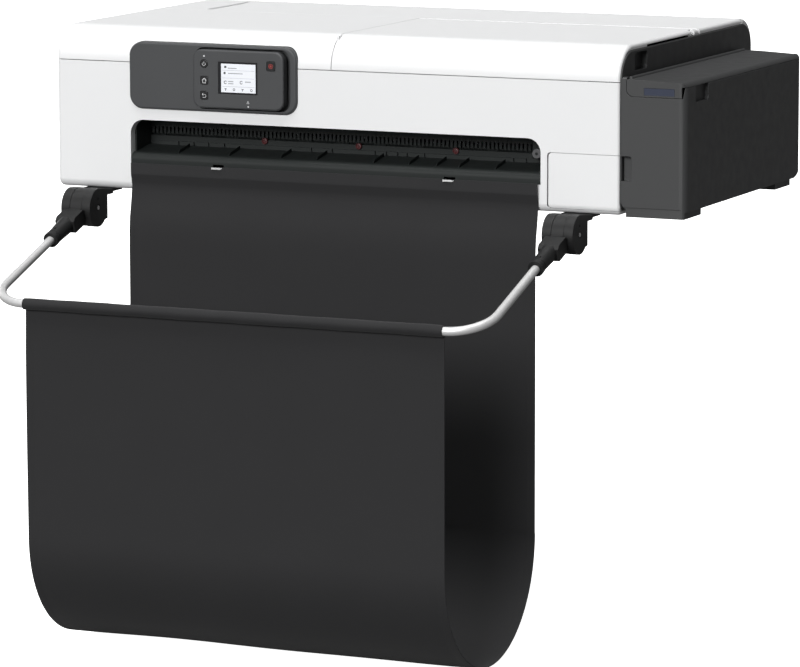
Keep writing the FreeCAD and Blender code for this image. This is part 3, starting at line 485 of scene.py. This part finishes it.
def sleeve():
    """Hem sewn round the bar: a slightly pinched tube of cloth, with gathered ends."""
    bm = bmesh.new()
    uv = bm.loops.layers.uv.new("UVMap")
    rings, around = 90, 36
    x0, x1 = 121.0, 751.4
    grid = []
    for i in range(rings + 1):
        x = x0 + (x1 - x0) * i / rings
        end = min(i, rings - i)
        for layer, base in ((0, 8.15), (1, 6.5)):
            row = []
            for j in range(around):
                a = 2 * math.pi * j / around
                r = base + (0.16 * math.sin(x * 0.05 + 2 * a) + 0.10 * math.sin(x * 0.13 + a)) * (1 - layer)
                if end == 0:
                    r -= 0.35 * (1 - layer)
                row.append((bm.verts.new(at(x, BAR[0] + r * math.cos(a), BAR[1] + r * math.sin(a))), x, a * 8.2))
            grid.append(row)

    def skin(p, q, flip):
        for j in range(around):
            k = (j + 1) % around
            loop_items = [p[j], p[k], q[k], q[j]]
            if flip:
                loop_items.reverse()
            face = bm.faces.new([v[0] for v in loop_items])
            face.smooth = True
            for loop, v in zip(face.loops, loop_items):
                loop[uv].uv = (v[1] * MM, v[2] * MM)

    for i in range(rings):
        skin(grid[2 * i], grid[2 * i + 2], False)
        skin(grid[2 * i + 1], grid[2 * i + 3], True)
    skin(grid[1], grid[0], False)
    skin(grid[2 * rings], grid[2 * rings + 1], False)
    bmesh.ops.recalc_face_normals(bm, faces=bm.faces[:])
    mesh = bpy.data.meshes.new("basket_cloth_sleeve")
    bm.to_mesh(mesh)
    bm.free()
    smooth_by_angle(mesh, 50.0)
    obj = add_object("basket_cloth_sleeve", mesh, CLOTH, "basket_arms")
    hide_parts("basket_sleeve")
    return obj


sleeve()

# ---------------------------------------------------------------- rounded hard pieces

for node, width in (
    ("lower_front_cover", 0.0007), ("upper_left_cover", 0.0007), ("access_cover", 0.0007),
    ("maintenance_cover", 0.0007), ("roll_cover", 0.0006), ("panel_frame", 0.0008), ("control_pod", 0.0006),
    ("output_guide", 0.0007), ("basket_brackets", 0.0011), ("arm_sockets", 0.0009), ("right_side_panel", 0.0006),
    ("ink_housing", 0.0009), ("ink_cover", 0.0009),
):
    soften(node, width)

# ---------------------------------------------------------------- marks on the control pod

POD_Y = -11.0
KEY_Y = -11.3

decal("mark_power", [ring_loop(242.0, 187.2, 2.3, 125, 415, 20, 0.6), rect_loop(241.7, 242.3, 187.8, 190.9)],
      KEY_Y, MARK, "power_button")
decal("mark_home", [
    [(238.6, 164.2), (242.3, 167.8), (246.0, 164.2), (245.2, 163.4), (242.3, 166.3), (239.4, 163.4)],
    [(239.7, 163.2), (240.5, 164.0), (240.5, 160.8), (244.1, 160.8), (244.1, 164.0), (244.9, 163.2), (244.9, 160.0),
     (239.7, 160.0)],
], KEY_Y, MARK, "home_button")
decal("mark_back", [
    ring_loop(242.8, 141.9, 2.2, -90, 90, 12, 0.6),
    rect_loop(240.2, 242.8, 143.8, 144.4), rect_loop(239.4, 242.8, 139.4, 140.0),
    [(238.4, 144.1), (240.7, 146.2), (240.7, 142.0)],
], KEY_Y, MARK, "back_button")
decal("mark_stop", [ring_loop(347.0, 187.6, 3.0, 0, 350, 24, 0.7), round_rect(347.0, 187.6, 2.6, 2.6, 0.3)],
      KEY_Y, RED, "stop_button")
decal("mark_caution", [
    [(308.7, 133.2), (310.9, 137.4), (313.1, 133.2), (312.1, 133.7), (310.9, 135.9), (309.7, 133.7)],
    [(309.7, 133.7), (312.1, 133.7), (313.1, 133.2), (308.7, 133.2)],
], POD_Y, MARK, "control_pod")


def screen_marks():
    """Made-up menu: rows of bars and simple pictograms, with no letters."""
    dark = [
        round_rect(275.6, 184.3, 3.4, 3.0, 0.5), round_rect(274.4, 175.6, 3.2, 3.2, 0.5),
        ring_loop(275.5, 162.4, 2.0, 30, 330, 12, 0.9), ring_loop(300.6, 162.9, 2.0, 30, 330, 12, 0.9),
    ]
    rows = [
        round_rect(286.4, 182.7, 14.1, 1.1, 0.4), round_rect(291.4, 175.3, 23.2, 1.1, 0.4),
        round_rect(284.0, 163.8, 8.5, 1.1, 0.4), round_rect(284.0, 160.7, 8.5, 1.1, 0.4),
        round_rect(310.9, 164.0, 9.2, 1.1, 0.4),
    ]
    for i, x in enumerate((275.8, 289.1, 302.5, 316.3)):
        if i % 2:
            dark.append(ring_loop(x, 152.4, 1.5, 0, 350, 12, 0.8))
        else:
            dark.append([(x - 1.9, 153.8), (x + 1.9, 153.8), (x + 0.4, 152.0), (x + 0.4, 150.5), (x - 0.4, 150.5),
                         (x - 0.4, 152.0)])
    rules = [rect_loop(270.6, 321.2, z - 0.15, z + 0.15) for z in (179.6, 168.6, 156.6)]
    decal("screen_icons", dark, -10.86, DIM, "control_pod", 0.00006)
    decal("screen_rows", rows + rules, -10.86, RULE, "control_pod", 0.00005)


screen_marks()

# ---------------------------------------------------------------- small parts in the slot

def disc(name, x, y, z, r, depth, mat, body):
    """Turned disc facing forwards, with a dished face and a boss."""
    profile = [(0.0, depth), (0.25 * r, depth), (0.32 * r, depth * 0.62), (0.72 * r, depth * 0.55), (0.82 * r, depth * 0.9),
               (0.94 * r, depth * 0.9), (r, depth * 0.7), (r, 0.0), (0.0, 0.0)]
    bm = bmesh.new()
    around = 28
    rings = []
    for radius, height in profile:
        if radius == 0.0:
            rings.append([bm.verts.new(at(x, y - height, z))])
        else:
            rings.append([bm.verts.new(at(x + radius * math.cos(2 * math.pi * k / around), y - height,
                                          z + radius * math.sin(2 * math.pi * k / around))) for k in range(around)])
    for a, b in zip(rings, rings[1:]):
        for k in range(around):
            n = (k + 1) % around
            if len(a) == 1:
                bm.faces.new((a[0], b[k], b[n]))
            elif len(b) == 1:
                bm.faces.new((a[k], b[0], a[n]))
            else:
                bm.faces.new((a[k], b[k], b[n], a[n]))
    bmesh.ops.recalc_face_normals(bm, faces=bm.faces[:])
    mesh = bpy.data.meshes.new(name)
    bm.to_mesh(mesh)
    bm.free()
    smooth_by_angle(mesh, 35.0)
    return add_object(name, mesh, mat, body)


for index, (x, z) in enumerate(((303.5, 73.0), (451.1, 72.2), (600.9, 72.4))):
    disc("gear_disc_%d" % (index + 1), x, 59.9, z, 4.7, 3.6, DARKRED, "base")

# ---------------------------------------------------------------- floor, light and camera

def add_floor():
    mesh = bpy.data.meshes.new("floor")
    mesh.from_pydata([(-40, -40, -0.62), (40, -40, -0.62), (40, 40, -0.62), (-40, 40, -0.62)], [], [(0, 1, 2, 3)])
    floor = bpy.data.objects.new("floor", mesh)
    bpy.context.scene.collection.objects.link(floor)
    mat, nt, links, bsdf = new_material("floor_pale")
    bsdf.inputs["Roughness"].default_value = 0.9
    bsdf.inputs["Emission Color"].default_value = (1, 1, 1, 1)
    path = nt.new("ShaderNodeLightPath")
    links.new(path.outputs["Is Camera Ray"], bsdf.inputs["Emission Strength"])
    links.new(tint(nt, links, path.outputs["Is Camera Ray"], (0.13, 0.13, 0.13), (0.9, 0.9, 0.9)),
              bsdf.inputs["Base Color"])
    mesh.materials.append(mat)


def add_world():
    world = bpy.data.worlds.new("studio")
    bpy.context.scene.world = world
    world.use_nodes = True
    nt, links = world.node_tree.nodes, world.node_tree.links
    background = nt["Background"]
    path = nt.new("ShaderNodeLightPath")
    mix = nt.new("ShaderNodeMix")
    mix.inputs["A"].default_value = 0.10
    mix.inputs["B"].default_value = 1.0
    links.new(path.outputs["Is Camera Ray"], mix.inputs["Factor"])
    links.new(mix.outputs["Result"], background.inputs["Strength"])
    background.inputs["Color"].default_value = (1, 1, 1, 1)


def add_sun(name, direction, strength, angle):
    data = bpy.data.lights.new(name, "SUN")
    data.energy = strength
    data.angle = math.radians(angle)
    obj = bpy.data.objects.new(name, data)
    obj.rotation_mode = "QUATERNION"
    obj.rotation_quaternion = Vector(direction).to_track_quat("Z", "Y")
    bpy.context.scene.collection.objects.link(obj)


def add_camera():
    data = bpy.data.cameras.new("camera")
    data.lens = 218.43
    data.clip_start, data.clip_end = 0.1, 200.0
    camera = bpy.data.objects.new("camera", data)
    turn = Matrix(((0.9123716, -0.0606278, 0.4048485), (0.4093589, 0.1395232, -0.9016421),
                   (-0.0018212, 0.988361, 0.1521155)))
    camera.matrix_world = Matrix.Translation((2.81778, -6.41171, 0.85514)) @ turn.to_4x4()
    bpy.context.scene.collection.objects.link(camera)
    bpy.context.scene.camera = camera


add_floor()
add_world()
add_sun("front", (-0.02, -0.93, 0.36), 2.45, 28.0)
add_sun("top", (-0.05, -0.15, 0.985), 2.25, 40.0)
add_sun("rear", (-0.82, 0.55, 0.15), 0.9, 35.0)
add_camera()
view = bpy.context.scene.view_settings
view.view_transform = "Standard"
view.look = "None"
